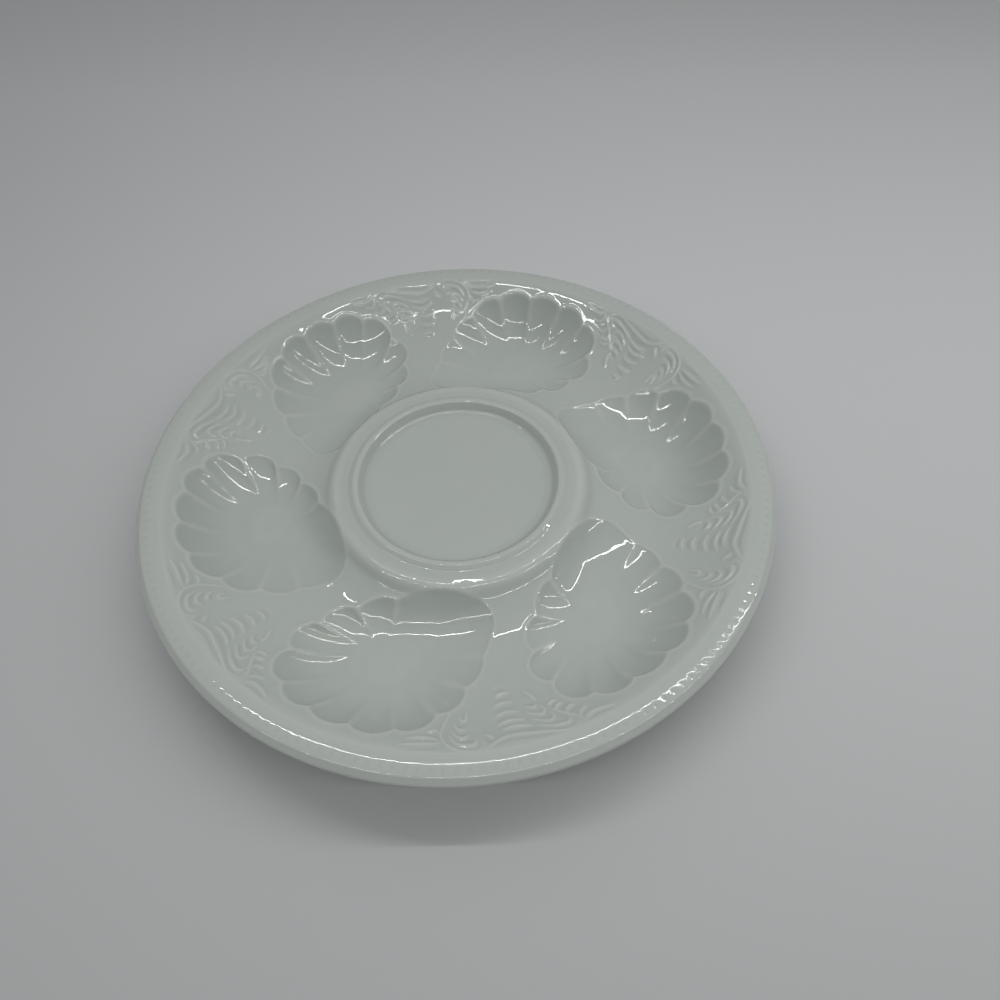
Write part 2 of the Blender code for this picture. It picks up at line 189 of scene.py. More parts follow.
LEAF_GROOVES = (
    ((-0.0086, -0.0989), (-0.0062, -0.0983), (-0.0038, -0.0989)),
    ((-0.0092, -0.1029), (-0.0063, -0.1023), (-0.0034, -0.1029)),
    ((-0.0104, -0.1073), (-0.0066, -0.1066), (-0.0026, -0.1073)),
    ((-0.0108, -0.1119), (-0.0064, -0.1109), (-0.0016, -0.1121)),
    ((-0.0076, -0.1147), (-0.0048, -0.1143), (-0.0012, -0.1153)),
    ((-0.0074, -0.1180), (-0.0025, -0.1177), (0.0030, -0.1192)),
    ((-0.0126, -0.1228), (-0.0074, -0.1213), (0.0000, -0.1223), (0.0086, -0.1236)),
    ((-0.0165, -0.1172), (-0.0150, -0.1194), (-0.0140, -0.1210)),
    ((-0.0240, -0.1090), (-0.0229, -0.1108), (-0.0212, -0.1110)),
    ((-0.0256, -0.1113), (-0.0242, -0.1136), (-0.0223, -0.1145), (-0.0206, -0.1139)),
    ((-0.0266, -0.1141), (-0.0250, -0.1166), (-0.0226, -0.1179), (-0.0198, -0.1176)),
    ((-0.0286, -0.1164), (-0.0262, -0.1194), (-0.0228, -0.1213),
     (-0.0190, -0.1216), (-0.0172, -0.1194)),
    ((-0.0364, -0.1104), (-0.0334, -0.1117), (-0.0312, -0.1139)),
    ((-0.0406, -0.1129), (-0.0362, -0.1138), (-0.0320, -0.1158)),
    ((-0.0424, -0.1164), (-0.0368, -0.1174), (-0.0312, -0.1189)),
    ((0.0010, -0.1064), (0.0032, -0.1077), (0.0050, -0.1075)),
    ((0.0012, -0.1100), (0.0040, -0.1114), (0.0062, -0.1115)),
    ((0.0022, -0.1131), (0.0056, -0.1150), (0.0082, -0.1153)),
    ((0.0030, -0.1162), (0.0076, -0.1183), (0.0124, -0.1188)),
    ((0.0064, -0.1212), (0.0115, -0.1220), (0.0154, -0.1213), (0.0166, -0.1194)),
    ((0.0104, -0.1114), (0.0116, -0.1105), (0.0132, -0.1102)),
    ((0.0133, -0.1143), (0.0134, -0.1129), (0.0148, -0.1121)),
    ((0.0164, -0.1164), (0.0170, -0.1150), (0.0192, -0.1144)),
    ((0.0196, -0.1185), (0.0210, -0.1172), (0.0232, -0.1166)),
    ((0.0204, -0.1220), (0.0249, -0.1199), (0.0308, -0.1197)),
)

# The foot ring: offsets from its middle circle, with shares of the height up to the dish
FOOT_INSET = 0.0035                # from the foot's outside in to its middle circle
FOOT_BITE = 0.0005                 # how far the foot runs into the dish above it
FOOT_SECTION = (
    (-0.0042, 1.00), (-0.0034, 0.82), (-0.0030, 0.60),
    (-0.0027, 0.30), (-0.0024, 0.12), (-0.0016, 0.00),
    (0.0016, 0.00), (0.0024, 0.12), (0.0027, 0.30),
    (0.0030, 0.60), (0.0034, 0.82), (0.0042, 1.00),
    (0.0021, 1.00), (0.0000, 1.00), (-0.0021, 1.00),
)
BARE_HEIGHT = 0.0006               # the clay is bare up to this height

# Slight unevenness of the formed and glazed surface: length of a wave, direction and height
WOBBLE_WAVES = (
    (0.031, 0.3, 0.00006),
    (0.023, 1.9, 0.00004),
    (0.017, 2.7, 0.00003),
    (0.012, 1.1, 0.00002),
    (0.009, 0.7, 0.000012),
)
WOBBLE_TWIST = 1.7                 # of the wave that crosses it
WOBBLE_STRETCH = 1.3
WOBBLE_HIGH = 0.4                  # share of it above the rim's base

# Fineness of the skin
FIELD_STEP = 0.00055
UNDERSIDE_STEP = 0.0030
OUTLINE_STEP = 0.00070
FINE_STEP = 0.00005
RIM_STEPS = 1536
CENTER_STEPS = 384
FOOT_STEPS = 720
BOWL_RINGS = 46
BOWL_FIRST_RING = 0.04             # share of the way out
BOWL_CROWDING = 1.5                # of the rings toward the edge
FILLET_STEPS = 7
FILLET_LIMIT = 0.49                # share of a side that one rounding may take up
MEAN_REACH = 0.035                 # of a shell's edge from its middle
RAY_CLEARANCE = 0.2 * OUTLINE_STEP / MEAN_REACH   # least angle to the rays on the radius
BORDER_CLEARANCE = 0.6             # steps between a border and the points that fill it
WELD = 1e-6                        # points nearer than this are one
TOUCH = 1e-7                       # points nearer than this to a circle lie on it

# The glaze: thick in the hollows and thin where a point stands out above its surroundings
RIDGE_ROUNDS = 14                  # of smoothing, to find the surroundings
RIDGE_SHARE = 0.6
RIDGE_FADE = (-0.3, 0.1)           # upward parts of the normal between which it sets in
GLAZE_RUN = (-0.00010, 0.00022)    # how far a point stands out at the thickest and the thinnest
GLAZE_THICK = (0.475, 0.511, 0.478, 1.0)
GLAZE_MIDDLE = (0.502, 0.536, 0.506, 1.0)
GLAZE_MIDDLE_PLACE = 0.33
GLAZE_THIN = (0.556, 0.580, 0.558, 1.0)
GLAZE_CLOUD = (0.955, 0.970, 0.960, 1.0)   # tint of the faint clouds in it
PINHOLE_COLOR = (0.10, 0.09, 0.08, 1.0)
PINHOLE_EDGE = (0.020, 0.012)      # outside and inside of its soft edge, in cells
PINHOLE_CHOICE = 0.72              # share of the cells without one
CLAY_DARK = (0.50, 0.46, 0.39, 1.0)
CLAY_LIGHT = (0.74, 0.70, 0.62, 1.0)

# The floor, which grows paler away from the camera: painted shade that darkens it toward the
# camera, on the tent's open side
FLOOR_HALF = 3.0
FLOOR_DROP = 0.0001
FLOOR_NEAR_PAINTED_SHADE = (0.43, 0.439, 0.442, 1.0)
FLOOR_FAR = (0.79, 0.805, 0.811, 1.0)
FLOOR_FADE_START = (0.0, -0.30)    # in a frame turned to the camera
FLOOR_FADE = 0.70                  # length of the change

# The light, in a frame turned to the camera: thin lamps overhead, a broad one and the tent
STRIPS = (                         # start, end and watts for each metre
    ((-0.55, -0.27), (1.20, -0.27), 0.90),
    ((-0.26, 0.05), (1.20, 0.05), 1.00),
)
STRIP_HEIGHT = 0.46
STRIP_WIDTH = 0.008
KEY_PLACE = (-0.12, 0.50)
KEY_HEIGHT = 0.80
KEY_AIM = Vector((0, 0, 0.02))
KEY_SIZE = (1.1, 0.8)
KEY_WATTS = 0.7
TENT_COLOR = (0.97, 0.99, 1.0, 1.0)
TENT_LIGHT = 0.24                  # of the walls
TENT_OPENING = 0.10                # on the camera's side
TENT_TURN = (-0.2, 0.7)            # cosines to the camera's side between which the walls dim

# The camera, from the photograph
LENS_PIXELS = 751
FRAME_PIXELS = 1000
CAMERA_DISTANCE = 0.3153
CAMERA_TARGET = Vector((0.0232, -0.0131, 0.0290))
CAMERA_AZIMUTH = math.radians(-72.9)
CAMERA_ELEVATION = math.radians(54.1)
CAMERA_ROLL = -0.0236


def smooth_step(low, high, values):
    """0 below low, 1 above high, with an easy run between."""
    share = np.clip((values - low) / (high - low), 0.0, 1.0)
    return share * share * (3 - 2 * share)


def smooth_least(first, second, reach):
    """The lesser of two heights, rounded where they meet."""
    share = np.clip(0.5 + 0.5 * (second - first) / reach, 0.0, 1.0)
    return second * (1 - share) + first * share - reach * share * (1 - share)


def turned(points, angle):
    """Points turned about the platter's axis."""
    cosine, sine = math.cos(angle), math.sin(angle)
    result = points.copy()
    result[:, 0] = cosine * points[:, 0] - sine * points[:, 1]
    result[:, 1] = sine * points[:, 0] + cosine * points[:, 1]
    return result


def from_camera(spots):
    """Points of the frame that is turned to the camera, in the platter's frame."""
    return turned(np.array(spots), CAMERA_AZIMUTH - FIRST_ANGLE)


def dish_height(radius):
    """Height of the plain dish: two parabolas that meet in the valley between ring and rim."""
    inner = RING_RISE * ((VALLEY_RADIUS - radius) / (VALLEY_RADIUS - RING_RADIUS)) ** 2
    edge_rise = FIELD_HIGH.z - VALLEY_HEIGHT
    outer = edge_rise * ((radius - VALLEY_RADIUS) / (FIELD_HIGH.x - VALLEY_RADIUS)) ** 2
    dish = VALLEY_HEIGHT + np.where(radius < VALLEY_RADIUS, inner, outer)
    flank = RING_EDGE - RING_EDGE_SLOPE * (radius - RING_EDGE_RADIUS)
    ring = smooth_least(RING_EDGE, flank, RING_EDGE_ROUNDING)
    dish = -smooth_least(-dish, -ring, RING_FOOT_ROUNDING)
    band = BAND_HEIGHT + BAND_SLOPE * np.maximum(radius - BAND_RADIUS, -BAND_REACH)
    return smooth_least(dish, band, BAND_ROUNDING)


def filleted(corners):
    """A profile through corners given as (radius, height, rounding), with each corner rounded."""
    points = [corners[0][:2]]
    for before, corner, after in zip(corners, corners[1:], corners[2:]):
        here = Vector(corner[:2])
        back = Vector(before[:2]) - here
        ahead = Vector(after[:2]) - here
        half = back.angle(ahead) / 2
        shorter = min(back.length, ahead.length)
        run = min(corner[2] / math.tan(half), FILLET_LIMIT * shorter)
        start, end = here + back.normalized() * run, here + ahead.normalized() * run
        for step in range(FILLET_STEPS):
            share = step / (FILLET_STEPS - 1)
            bend = start.lerp(here, share).lerp(here.lerp(end, share), share)
            points.append((bend.x, bend.y))
    points.append(corners[-1][:2])
    return np.array(points)


# Outline of a shell

def shell_point(across, out):
    """A point of the first shell, from its shares."""
    return np.array((across * SHELL_WIDTH, -(SHELL_HINGE + out * SHELL_LENGTH)))


def arc_points(start, end, bulge, step):
    """Points along an arc that bulges outward, without its end."""
    chord = end - start
    length = np.hypot(*chord)
    half_sweep = 2 * math.atan(2 * bulge)
    radius = length / 2 / math.sin(half_sweep)
    along = chord / length
    outward = np.array((along[1], -along[0]))
    count = max(2, math.ceil(2 * half_sweep * radius / step))
    angles = half_sweep * (2 * np.arange(count) / count - 1)
    rises = radius * (np.cos(angles) - math.cos(half_sweep))
    return (start + end) / 2 + np.outer(radius * np.sin(angles), along) + np.outer(rises, outward)


def outline_points(step):
    """The shell's edge, counter-clockwise from above."""
    corners = SHELL_OUTLINE + SHELL_OUTLINE[:1]
    arcs = []
    for corner, following in zip(corners, corners[1:]):
        start, end = shell_point(*corner[:2]), shell_point(*following[:2])
        arcs.append(arc_points(start, end, corner[2], step))
    return np.concatenate(arcs)


class Shell:
    """The first shell's edge in polar form about its middle, with blurred copies for the flutes."""
    TABLE_SIZE = 3600
    BLURS = (0.0004, 0.0012, 0.0060)

    def __init__(self):
        fine = outline_points(FINE_STEP)
        self.tree = KDTree(len(fine))
        for i, point in enumerate(fine):
            self.tree.insert((*point, 0.0), i)
        self.tree.balance()
        arms = fine - SHELL_MIDDLE
        angles = np.unwrap(np.arctan2(arms[:, 1], arms[:, 0]))
        self.start = angles[0]
        steps = np.arange(self.TABLE_SIZE + 1)
        self.table_angles = self.start + 2 * math.pi * steps / self.TABLE_SIZE
        reach = np.hypot(*arms.T)
        self.reach = np.interp(
            self.table_angles,
            np.append(angles, angles[0] + 2 * math.pi),
            np.append(reach, reach[0]),
        )
        self.blurred = [self.blur(width) for width in self.BLURS]
        corners = [shell_point(*corner[:2]) for corner in SHELL_OUTLINE[:RIB_COUNT]]
        self.cusps = [corner - SHELL_MIDDLE for corner in corners]

    def blur(self, width):
        """The reach, blurred along the edge."""
        ring = self.reach[:-1]
        spread = width / ring.mean() * self.TABLE_SIZE / (2 * math.pi)
        offsets = np.fft.fftfreq(self.TABLE_SIZE)
        kernel = np.exp(-2 * (math.pi * spread * offsets) ** 2)
        soft = np.fft.ifft(np.fft.fft(ring) * kernel).real
        return np.append(soft, soft[0])

    def look_up(self, table, angles):
        """Values of a table at angles about the middle."""
        wrapped = self.start + np.mod(angles - self.start, 2 * math.pi)
        return np.interp(wrapped, self.table_angles, table)

    def polar(self, points):
        """Distance and angle about the shell's middle."""
        arms = points - SHELL_MIDDLE
        return np.hypot(*arms.T), np.arctan2(arms[:, 1], arms[:, 0])

    def edge_distance(self, points):
        """Distance to the shell's edge."""
        return np.array([self.tree.find((x, y, 0.0))[2] for x, y in points])

    def soft_reach(self, distance, angles):
        """The reach for a point's flutes: sharp at the edge and blurred further in."""
        sharp, middle, broad = [self.look_up(table, angles) for table in self.blurred]
        share = distance / self.look_up(self.reach, angles)
        near = smooth_step(*FLUTE_SHARP, share)
        far = smooth_step(*FLUTE_START, share)
        flutes = (middle - broad) * far * (1 + FLUTE_GAIN * (1 - near))
        return broad + flutes + (sharp - middle) * near

    def edge_dish(self, angles, growth=0.0):
        """The dish's height at the edge, seen from the middle."""
        reach = self.look_up(self.reach, angles) + growth
        x = SHELL_MIDDLE[0] + reach * np.cos(angles)
        y = SHELL_MIDDLE[1] + reach * np.sin(angles)
        return dish_height(np.hypot(x, y))

    def bowl_height(self, points):
        """Height of the fluted bowl, which runs on above the dish outside the edge."""
        distance, angles = self.polar(points)
        share = distance / self.soft_reach(distance, angles)
        climb = np.maximum(share - BOWL_FLOOR, 0.0) / (1 - BOWL_FLOOR)
        rise = BOWL_HOLLOW * share ** 2 + (1 - BOWL_HOLLOW) * climb ** BOWL_POWER
        bowl = WELL_FLOOR + (self.edge_dish(angles) - WELL_FLOOR) * rise
        ribs = np.zeros(len(points))
        for cusp in self.cusps:
            length = np.hypot(*cusp)
            along = (points - SHELL_MIDDLE) @ cusp / length
            aside = (points - SHELL_MIDDLE) @ np.array((-cusp[1], cusp[0])) / length
            fade = smooth_step(*RIB_RUN, along / length)
            ribs = np.maximum(ribs, fade * np.exp(-(aside / RIB_WIDTH) ** 2))
        return bowl + RIB_RISE * ribs

    def top_height(self, points):
        """Height of the glazed top round this shell, without the seaweed."""
        dish = dish_height(np.hypot(*points.T))
        lip = LIP_RISE * np.exp(-(self.edge_distance(points) / LIP_WIDTH) ** 2)
        return smooth_least(dish, self.bowl_height(points), EDGE_ROUNDING) + lip

    def underside_height(self, points):
        """Height of the underside: the field's, with a bulge under the shell."""
        distance, angles = self.polar(points)
        reach = self.look_up(self.reach, angles) + SEAM_GROWTH
        soft = self.look_up(self.blurred[2], angles) + SEAM_GROWTH
        turn = smooth_step(*UNDERSIDE_TURN, distance / reach)
        share = distance / (soft + (reach - soft) * turn)
        feet = self.edge_dish(angles, SEAM_GROWTH) - THICKNESS
        bulge = WELL_UNDERSIDE + (feet - WELL_UNDERSIDE) * share ** UNDERSIDE_POWER
        plain = dish_height(np.hypot(*points.T)) - THICKNESS
        return np.where(distance < reach, bulge, plain)


def nearest_shell_frame(points):
    """Points turned into the frame of the shell whose sector they lie in."""
    x, y = points.T
    turns = -np.round((np.arctan2(y, x) - FIRST_ANGLE) / PITCH) * PITCH
    cosine, sine = np.cos(turns), np.sin(turns)
    return np.stack((cosine * x - sine * y, sine * x + cosine * y), 1)


# Seaweed

def curve_through(points, step):
    """A smooth curve through points, at an even step."""
    points = np.array(points)
    ends = np.vstack((2 * points[0] - points[1], points, 2 * points[-1] - points[-2]))
    runs = []
    for before, start, end, after in zip(ends, ends[1:], ends[2:], ends[3:]):
        count = max(2, math.ceil(np.hypot(*(end - start)) / step))
        t = (np.arange(count) / count)[:, None]
        line = 2 * start + (end - before) * t
        bend = (2 * before - 5 * start + 4 * end - after) * t ** 2
        twist = (3 * start - before - 3 * end + after) * t ** 3
        runs.append(0.5 * (line + bend + twist))
    return np.vstack(runs + [points[-1:]])


def stroke_height(points, strokes, half_width, tip):
    """The greatest rise of rounded strokes at points, from 0 to 1, less toward the tips."""
    rise = np.zeros(len(points))
    for stroke in strokes:
        line = curve_through(stroke, half_width / STROKE_STEPS)
        low, high = line.min(0) - half_width, line.max(0) + half_width
        near = np.nonzero(((points > low) & (points < high)).all(1))[0]
        gaps = np.hypot(*(points[near, None] - line[None]).transpose(2, 0, 1))
        place = gaps.argmin(1) / (len(line) - 1)
        taper = tip + (1 - tip) * np.sin(math.pi * place) ** TAPER_POWER
        share = np.clip(gaps.min(1) / (half_width * taper), 0.0, 1.0)
        rise[near] = np.maximum(rise[near], taper * np.cos(0.5 * math.pi * share) ** 2)
    return rise


def seaweed_height(points):
    """Relief of the sprig, which runs out before the rim, at points in the frame of its gap."""
    relief = LEAF_RISE * stroke_height(points, LEAF_RIDGES, LEAF_HALF_WIDTH, LEAF_TIP)
    relief -= GROOVE_DEPTH * stroke_height(points, LEAF_GROOVES, GROOVE_HALF_WIDTH, GROOVE_TIP)
    start, end = [RIM_BORDER - distance for distance in SEAWEED_END]
    return relief * (1 - smooth_step(start, end, np.hypot(*points.T)))


# Skins: points and triangles of one piece's outside, whose open borders lie one above the other

def ring_triangles(rows, steps):
    """Triangles between closed rings of points, row after row."""
    i, j = np.meshgrid(np.arange(rows - 1), np.arange(steps), indexing="ij")
    i, j = i.ravel(), j.ravel()
    a, b = i * steps + j, i * steps + (j + 1) % steps
    c, d = b + steps, a + steps
    return np.concatenate((np.stack((a, d, c), 1), np.stack((a, c, b), 1)))


def fan_triangles(middle, first, steps, is_top):
    """Triangles between a middle point and a ring."""
    j = np.arange(steps)
    ring, following = first + j, first + (j + 1) % steps
    order = (ring, following) if is_top else (following, ring)
    return np.stack((np.full(steps, middle), *order), 1)


def lathe(profile, steps):
    """Rings of points turned from a profile of (radius, height)."""
    angles = FIRST_ANGLE + 2 * math.pi * np.arange(steps) / steps
    radii = np.repeat(profile[:, 0], steps)
    heights = np.repeat(profile[:, 1], steps)
    turn = np.tile(angles, len(profile))
    return np.stack((radii * np.cos(turn), radii * np.sin(turn), heights), 1)


def rim_skin():
    """The rolled rim: over the bead row, down the outer wall and back underneath."""
    border = float(dish_height(np.array(RIM_BORDER)))
    top = RIM_HIGH.z
    foot = RIM_LOW.z
    widest = RIM_HIGH.x
    crest = border + (ARCH_RADIUS - RIM_BORDER) ** 2 / (2 * ARCH_ROUNDING)
    arch = np.linspace(RIM_BORDER, BEAD_CIRCLE + ARCH_OVERHANG, ARCH_STEPS)
    heights = crest - (arch - ARCH_RADIUS) ** 2 / (2 * ARCH_ROUNDING)
    edge = filleted((   # radius, height and rounding of each corner
        (arch[-1], heights[-1], 0.0),
        (BEAD_CIRCLE + 0.0023, heights[-1] - 0.0002, 0.0030),
        (widest, top - 0.0028, 0.0022),
        (widest - 0.0001, top - 0.0048, 0.0030),
        (widest - 0.0024, foot + 0.0008, 0.0030),
        (widest - 0.0080, foot, 0.0030),
        (RIM_BORDER, border - THICKNESS, 0.0),
    ))
    profile = np.vstack((np.stack((arch, heights), 1), edge[1:]))
    points = lathe(profile, RIM_STEPS)
    angles = np.arctan2(points[:, 1], points[:, 0])
    pitch = 2 * math.pi / BEAD_COUNT
    aside = (np.mod(angles / pitch, 1.0) - 0.5) * pitch * BEAD_CIRCLE
    radii = np.hypot(points[:, 0], points[:, 1])
    along = radii - BEAD_CIRCLE
    relief = -NOTCH_DEPTH * np.exp(-(aside / NOTCH_WIDTH) ** 2 - (along / NOTCH_REACH) ** 2)
    belly = 1 - ((2 * radii - arch[0] - arch[-1]) / (arch[-1] - arch[0])) ** 2
    for count, phase, height in RIM_WAVES:
        relief += height * np.sin(count * angles + phase) * np.maximum(belly, 0.0)
    points[:, 2] += np.where(points[:, 2] > top - RELIEF_DEPTH, relief, 0.0)
    return points, ring_triangles(len(profile), RIM_STEPS)


def center_skin():
    """The centre well with its ring, and its underside."""
    border = float(dish_height(np.array(CENTER_BORDER)))
    floor_height = CENTER_LOW.z + CENTER_THICKNESS
    floor = []
    for radius in np.linspace(*CENTER_FLOOR_RADII, CENTER_FLOOR_RINGS):
        rise = CENTER_HOLLOW * (radius / CENTER_HOLLOW_RADIUS) ** CENTER_HOLLOW_POWER
        floor.append((radius, floor_height + rise, CENTER_FLOOR_ROUNDING))
    profile = filleted((   # radius, height and rounding of each corner
        *floor,
        (0.0418, floor_height + 0.0018, 0.0030),
        (0.0446, RING_CREST - 0.0002, 0.0016),
        (0.0463, RING_CREST, 0.0016),
        (0.0485, RING_BAND, 0.0030),
        (0.0520, border + RING_SHOULDER, 0.0060),
        (CENTER_BORDER, border, 0.0),
    ))
    under = filleted((
        (CENTER_BORDER, border - THICKNESS, 0.0),
        (0.0470, CENTER_LOW.z + 0.0016, 0.0080),
        (0.0380, CENTER_LOW.z, 0.0080),
        (CENTER_FLOOR_RADII[0], CENTER_LOW.z, 0.0),
    ))
    top_points, under_points = lathe(profile, CENTER_STEPS), lathe(under, CENTER_STEPS)
    middles = [(0, 0, floor_height), (0, 0, CENTER_LOW.z)]
    points = np.vstack((top_points, under_points, middles))
    count = len(top_points)
    last_ring = count + len(under_points) - CENTER_STEPS
    triangles = np.concatenate((
        ring_triangles(len(profile), CENTER_STEPS),
        ring_triangles(len(under), CENTER_STEPS) + count,
        fan_triangles(len(points) - 2, 0, CENTER_STEPS, True),
        fan_triangles(len(points) - 1, last_ring, CENTER_STEPS, False),
    ))
    return points, triangles


def shell_rays(shell):
    """Arms from the shell's middle to its edge and its piece's end, two on the platter's radius."""
    edge = outline_points(OUTLINE_STEP)
    fine_angles = shell.table_angles[:-1]
    grown_x = SHELL_MIDDLE[0] + (shell.reach[:-1] + SEAM_GROWTH) * np.cos(fine_angles)
    crossings = np.nonzero(np.sign(grown_x) != np.sign(np.roll(grown_x, -1)))[0]
    here, ahead = grown_x[crossings], np.roll(grown_x, -1)[crossings]
    step = fine_angles[1] - fine_angles[0]
    on_radius = fine_angles[crossings] + step * here / (here - ahead)
    arms = edge - SHELL_MIDDLE
    angles = np.unwrap(np.arctan2(arms[:, 1], arms[:, 0]))
    keep = np.abs(angles[:, None] - on_radius[None]).min(1) > RAY_CLEARANCE
    angles = np.sort(np.concatenate((angles[keep], on_radius)))
    reach = shell.look_up(shell.reach, angles)
    directions = np.stack((np.cos(angles), np.sin(angles)), 1)
    seam = SHELL_MIDDLE + (reach + SEAM_GROWTH)[:, None] * directions
    marks = [int(np.abs(angles - angle).argmin()) for angle in on_radius]
    seam[marks, 0] = 0.0
    return directions, reach, seam, marks


def shell_skin(shell, rays):
    """One scallop well: its fluted bowl with the raised edge, and its underside."""
    directions, reach, seam, _ = rays
    steps = len(seam)
    shares = 1 - (1 - np.linspace(BOWL_FIRST_RING, 1.0, BOWL_RINGS)) ** BOWL_CROWDING
    rings = [SHELL_MIDDLE + (share * reach)[:, None] * directions for share in shares]
    rings.append(SHELL_MIDDLE + (reach + 0.5 * SEAM_GROWTH)[:, None] * directions)
    rings.append(seam)
    top = np.vstack(rings + [SHELL_MIDDLE[None]])
    top = np.column_stack((top, shell.top_height(top)))
    under_rings = [seam]
    for share in UNDERSIDE_SHARES:
        under_rings.append(SHELL_MIDDLE + share * (seam - SHELL_MIDDLE))
    under = np.vstack(under_rings + [SHELL_MIDDLE[None]])
    heights = shell.underside_height(under)
    heights[:steps] = dish_height(np.hypot(*seam.T)) - THICKNESS
    under = np.column_stack((under, heights))
    count = len(top)
    last_ring = count + (len(under_rings) - 1) * steps
    triangles = np.concatenate((
        ring_triangles(len(rings), steps),
        fan_triangles(count - 1, 0, steps, True),
        ring_triangles(len(under_rings), steps) + count,
        fan_triangles(count + len(under) - 1, last_ring, steps, False),
    ))
    return np.vstack((top, under)), triangles


def ray_points(angle, start, end, step):
    """Points on a radius of the platter, both ends included."""
    count = max(2, math.ceil(abs(end - start) / step) + 1)
    radii = np.linspace(start, end, count)
    return np.stack((radii * math.cos(angle), radii * math.sin(angle)), 1)


def circle_points(radius, steps):
    """Points on a circle over one sector, both ends included."""
    angles = FIRST_ANGLE + PITCH * np.arange(steps + 1) / steps
    return np.stack((radius * np.cos(angles), radius * np.sin(angles)), 1)


def sector_border(rays):
    """The border of the field between the first shell and the next, counter-clockwise."""
    _, _, seam, marks = rays
    hinge, outer = sorted(marks, key=lambda mark: np.hypot(*seam[mark]))
    count = len(seam)
    left = seam[(hinge + np.arange((outer - hinge) % count + 1)) % count]
    right = seam[(outer + np.arange((hinge - outer) % count + 1)) % count]
    hinge_radius, outer_radius = np.hypot(*seam[hinge]), np.hypot(*seam[outer])
    start, end = FIRST_ANGLE, FIRST_ANGLE + PITCH
    runs = (
        ray_points(start, CENTER_BORDER, hinge_radius, FIELD_STEP),
        right[::-1],
        ray_points(start, outer_radius, RIM_BORDER, FIELD_STEP),
        circle_points(RIM_BORDER, RIM_STEPS // WELL_COUNT),
        ray_points(end, RIM_BORDER, outer_radius, FIELD_STEP),
        turned(left, PITCH)[::-1],
        ray_points(end, hinge_radius, CENTER_BORDER, FIELD_STEP),
        circle_points(CENTER_BORDER, CENTER_STEPS // WELL_COUNT)[::-1],
    )
    return np.concatenate([run[:-1] for run in runs])


def inside(points, border):
    """Which points lie inside a closed border."""
    result = np.zeros(len(points), bool)
    x, y = points.T
    for (x0, y0), (x1, y1) in zip(border, np.roll(border, -1, axis=0)):
        if y0 != y1:
            crosses = (y0 > y) != (y1 > y)
            result ^= crosses & (x < x0 + (y - y0) * (x1 - x0) / (y1 - y0))
    return result


def filled(border, step):
    """Points and triangles that fill a border, at about an even step."""
    low, high = border.min(0), border.max(0)
    rows = np.arange(low[1], high[1], step * math.sqrt(0.75))
    columns = np.arange(low[0], high[0], step)
    grid = np.stack(np.meshgrid(columns, rows), -1)
    grid[1::2, :, 0] += step / 2
    grid = grid.reshape(-1, 2)
    grid = grid[inside(grid, border)]
    tree = KDTree(len(border))
    for i, point in enumerate(border):
        tree.insert((*point, 0.0), i)
    tree.balance()
    clearance = BORDER_CLEARANCE * min(step, FIELD_STEP)
    clear = np.array([tree.find((x, y, 0.0))[2] > clearance for x, y in grid])
    points = np.vstack((border, grid[clear]))
    loop = list(range(len(border)))
    result = delaunay_2d_cdt([Vector(point) for point in points], [], [loop], 1, TOUCH)
    spots = [sources[0] for sources in result[3]]
    triangles = np.array(spots)[np.array([list(face) for face in result[2]])]
    return points, triangles


def field_skin(shell, rays):
    """The field of one sector, with its sprig of seaweed, and the plain underside."""
    border = sector_border(rays)
    points, triangles = filled(border, FIELD_STEP)
    heights = shell.top_height(nearest_shell_frame(points))
    heights += seaweed_height(turned(points, -PITCH / 2))
    radii = np.hypot(*points.T)
    on_rim = np.abs(radii - RIM_BORDER) < TOUCH
    on_ring = np.abs(radii - CENTER_BORDER) < TOUCH
    on_circle = on_rim | on_ring
    heights[on_circle] = dish_height(radii)[on_circle]
    below, below_triangles = filled(border, UNDERSIDE_STEP)
    depths = dish_height(np.hypot(*below.T)) - THICKNESS
    top = np.column_stack((points, heights))
    under = np.column_stack((below, depths))
    below_triangles = below_triangles[:, ::-1] + len(top)
    return np.vstack((top, under)), np.concatenate((triangles, below_triangles))


def all_round(skin):
    """A sector's skin repeated round the platter."""
    points, triangles = skin
    copies = [turned(points, k * PITCH) for k in range(WELL_COUNT)]
    faces = [triangles + k * len(points) for k in range(WELL_COUNT)]
    return np.vstack(copies), np.concatenate(faces)


# Joining the skins and cutting them into pieces

def welded(skins):
    """One set of points for all skins, and each skin's triangles in it."""
    points = np.vstack([skin[0] for skin in skins])
    keys = np.round(points / WELD).astype(np.int64)
    _, first, same = np.unique(keys, axis=0, return_index=True, return_inverse=True)
    same = same.ravel()
    result, offset = [], 0
    for skin_points, triangles in skins:
        faces = same[triangles + offset]
        a, b, c = faces.T
        result.append(faces[(a != b) & (b != c) & (c != a)])
        offset += len(skin_points)
    return points[first], result


def hand_wobble(points):
    """Slight unevenness of the formed and glazed surface."""
    x, y = points[:, 0], points[:, 1]
    total = np.zeros(len(points))
    for length, turn, height in WOBBLE_WAVES:
        along = x * math.cos(turn) + y * math.sin(turn)
        cross = turn * WOBBLE_TWIST
        aside = y * math.cos(cross) - x * math.sin(cross)
        wave = height * np.sin(2 * math.pi * along / length + turn)
        total += wave * np.cos(2 * math.pi * aside / (WOBBLE_STRETCH * length))
    return total


def vertex_normals(points, faces):
    """Normals of the joined skin, weighted by area."""
    a, b, c = points[faces[:, 0]], points[faces[:, 1]], points[faces[:, 2]]
    areas = np.cross(b - a, c - a)
    normals = np.zeros_like(points)
    for axis in range(3):
        for corner in range(3):
            normals[:, axis] += np.bincount(faces[:, corner], areas[:, axis], len(points))
    return normals / np.maximum(np.linalg.norm(normals, axis=1), 1e-20)[:, None]


def edge_pairs(faces):
    """The edges of all triangles, as pairs of points."""
    return np.concatenate((faces[:, (0, 1)], faces[:, (1, 2)], faces[:, (2, 0)]))


